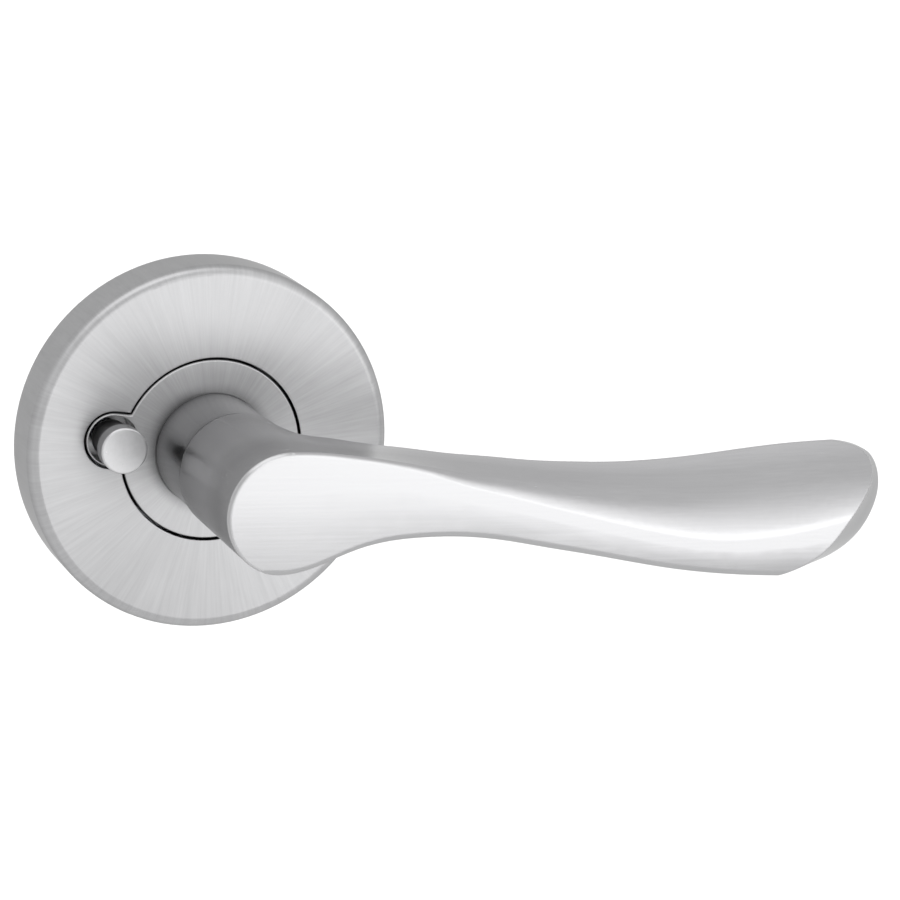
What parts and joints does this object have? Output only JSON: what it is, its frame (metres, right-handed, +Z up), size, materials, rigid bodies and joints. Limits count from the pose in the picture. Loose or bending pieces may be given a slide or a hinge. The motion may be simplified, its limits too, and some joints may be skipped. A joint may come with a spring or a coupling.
{
  "type": "door lever handle",
  "caption": "Interior door lever on a round sprung rose, with a push button beside the neck that works the privacy lock.",
  "frame": {"origin": "on the spindle axis at the door face, which is the back of the rose", "axes": "+Z up, +Y along the spindle into the door, +X along the lever, so the user stands on the -Y side"},
  "size_m": [0.1461, 0.0983, 0.065],
  "materials": {
    "rose_nickel": "satin nickel plate, brushed in fine rays from the centre",
    "neck_nickel": "satin nickel plate, smooth turned",
    "lever_nickel": "satin nickel plate, brushed along the arm",
    "button_nickel": "satin nickel plate",
    "zinc_steel": "bright zinc plated pressed steel",
    "bright_steel": "drawn bright steel",
    "black_steel": "black oxide steel",
    "spring_steel": "oil tempered spring steel",
    "white_nylon": "natural nylon",
    "black_acetal": "black acetal"
  },
  "bodies": {
    "root": {"rose_cover": "rose_nickel", "centre_plate": "rose_nickel", "mounting_plate": "zinc_steel", "cover_snap_ring": "black_steel", "neck_sleeve": "neck_nickel", "front_bush": "black_acetal", "rear_bush": "white_nylon", "thrust_washer": "zinc_steel", "stop_pins": "zinc_steel", "plate_screws": "zinc_steel", "through_screws": "zinc_steel", "return_spring": "spring_steel", "button_spring": "spring_steel"},
    "lever": {"lever_handle": "lever_nickel", "drive_sleeve": "bright_steel", "square_spindle": "bright_steel", "grub_screw": "black_steel", "drive_cam": "zinc_steel", "cam_key": "zinc_steel", "circlip": "black_steel"},
    "button": {"privacy_button": "button_nickel", "privacy_pin": "bright_steel", "pin_clip": "zinc_steel"}
  },
  "joints": [
    {"name": "lever_turn", "type": "hinge", "parent": "root", "child": "lever", "pos_m": [0, 0, 0], "axis": [0, 1, 0], "range_deg": [-45, 45], "stiffness_Nm_per_rad": 1.8, "springref_deg": -2.58, "deforming": ["return_spring"]},
    {"name": "button_push", "type": "slide", "parent": "root", "child": "button", "axis": [0, 1, 0], "range_m": [0, 0.0045], "stiffness_N_per_m": 250, "springref_m": -0.002, "deforming": ["button_spring"]}
  ]
}
